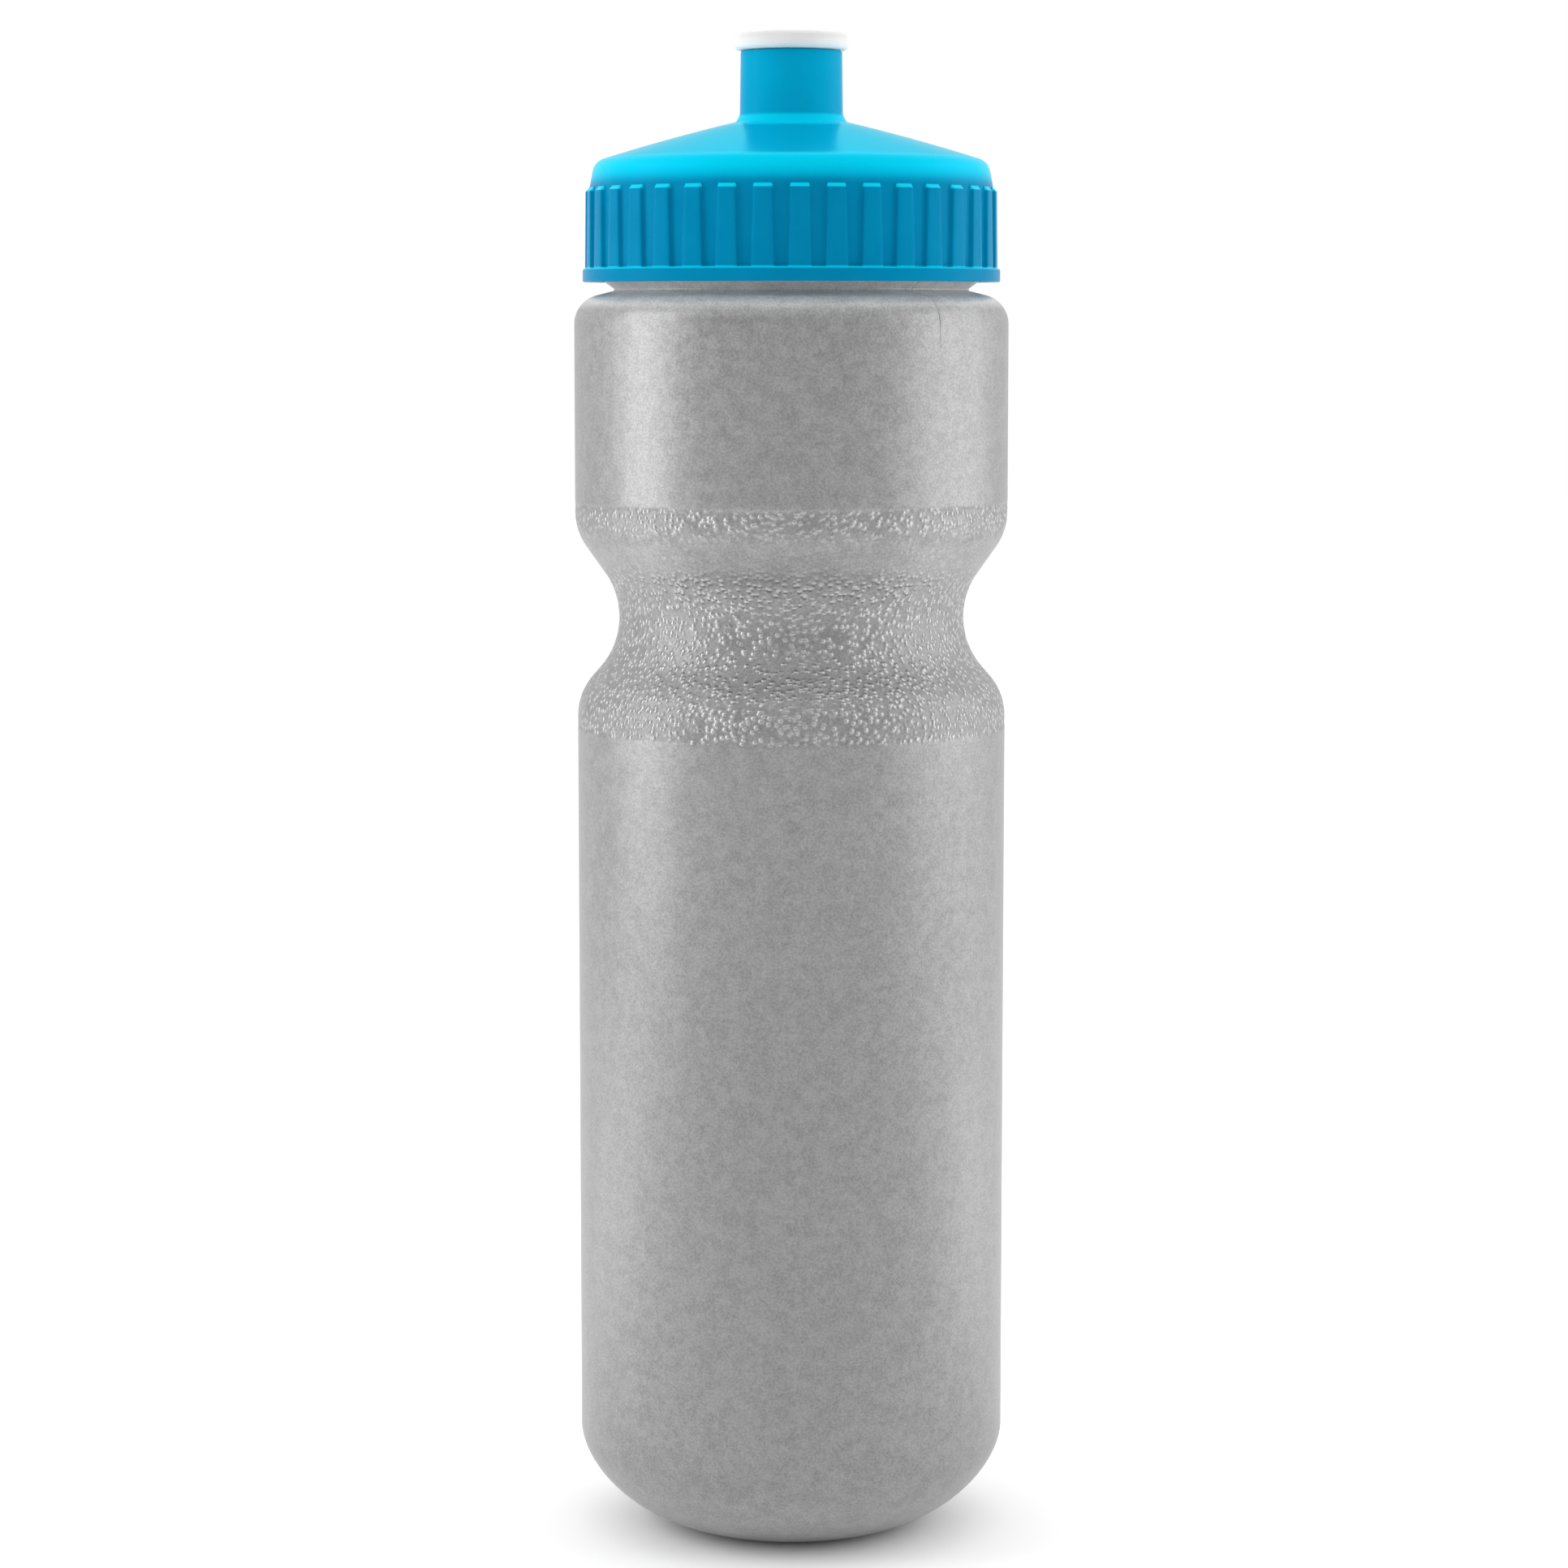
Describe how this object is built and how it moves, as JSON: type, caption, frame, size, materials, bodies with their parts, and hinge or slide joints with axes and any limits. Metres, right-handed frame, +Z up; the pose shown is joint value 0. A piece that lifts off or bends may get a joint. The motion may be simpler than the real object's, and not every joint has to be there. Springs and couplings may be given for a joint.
{
  "type": "water bottle",
  "caption": "Soft squeeze bottle with a pebbled grip waist, a ribbed screw lid with a low cone and spout, and a push-pull drinking valve.",
  "frame": {"origin": "middle of the surface that the bottle stands on", "axes": "+Z up along the bottle's axis, towards the valve; -Y is the side that faces the viewer"},
  "size_m": [0.073, 0.073, 0.2535],
  "materials": {
    "silver_polyethylene": "silver-grey pigmented soft polyethylene, satin, faintly cloudy, with a pebbled band round the waist",
    "cyan_lid": "cyan moulded polypropylene, polished",
    "white_valve": "white moulded polyethylene, soft sheen",
    "sealing_ring": "pale silicone, matt"
  },
  "bodies": {
    "bottle": {"bottle_body": "silver_polyethylene"},
    "seal": {"cap_gasket": "sealing_ring"},
    "lid": {"screw_cap": "cyan_lid"},
    "valve": {"push_pull_valve": "white_valve"}
  },
  "joints": [
    {"name": "cap_lift", "type": "slide", "parent": "bottle", "child": "seal", "axis": [0, 0, 1], "range_m": [0, 0.01694]},
    {"name": "cap_turn", "type": "hinge", "parent": "seal", "child": "lid", "pos_m": [0, 0, 0.2285], "axis": [0, 0, 1], "range_deg": [0, 1440]},
    {"name": "valve_pull", "type": "slide", "parent": "lid", "child": "valve", "axis": [0, 0, 1], "range_m": [0, 0.006]}
  ],
  "couplings": [
    {"joint": "cap_lift", "follows": "cap_turn", "m_per_rad": 0.0006737}
  ]
}
